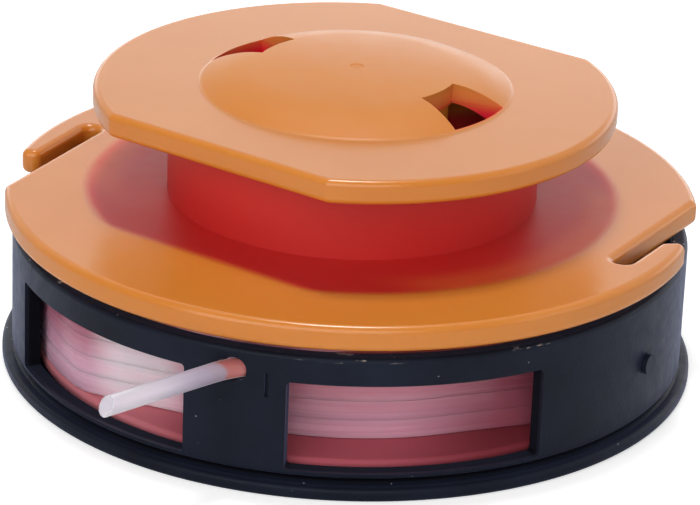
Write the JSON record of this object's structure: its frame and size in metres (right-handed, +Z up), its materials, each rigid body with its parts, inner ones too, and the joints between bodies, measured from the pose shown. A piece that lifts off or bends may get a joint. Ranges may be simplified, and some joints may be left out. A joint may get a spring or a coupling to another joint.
{
  "type": "trimmer line spool",
  "caption": "Round grass trimmer line cassette: dark casing with side windows and an eyelet, turning reel with push knob, wound cutting line and its free end.",
  "frame": {"origin": "centre of the flat underside of the casing, on the axis of the reel", "axes": "+Z up the axis of the reel towards the knob; the line leaves the casing at the eyelet on the -Y side"},
  "size_m": [0.0734, 0.0859, 0.0325],
  "materials": {
    "casing_plastic": "satin black moulded plastic with a fine grain",
    "reel_plastic": "glossy, slightly translucent orange moulded plastic",
    "cutting_line": "smooth translucent milky nylon"
  },
  "bodies": {
    "casing_body": {"casing": "casing_plastic", "line_end": "cutting_line"},
    "reel_body": {"reel": "reel_plastic", "wound_line": "cutting_line"}
  },
  "joints": [
    {"name": "reel_spin", "type": "hinge", "parent": "casing_body", "child": "reel_body", "pos_m": [0, 0, 0], "axis": [0, 0, 1], "continuous": true}
  ]
}
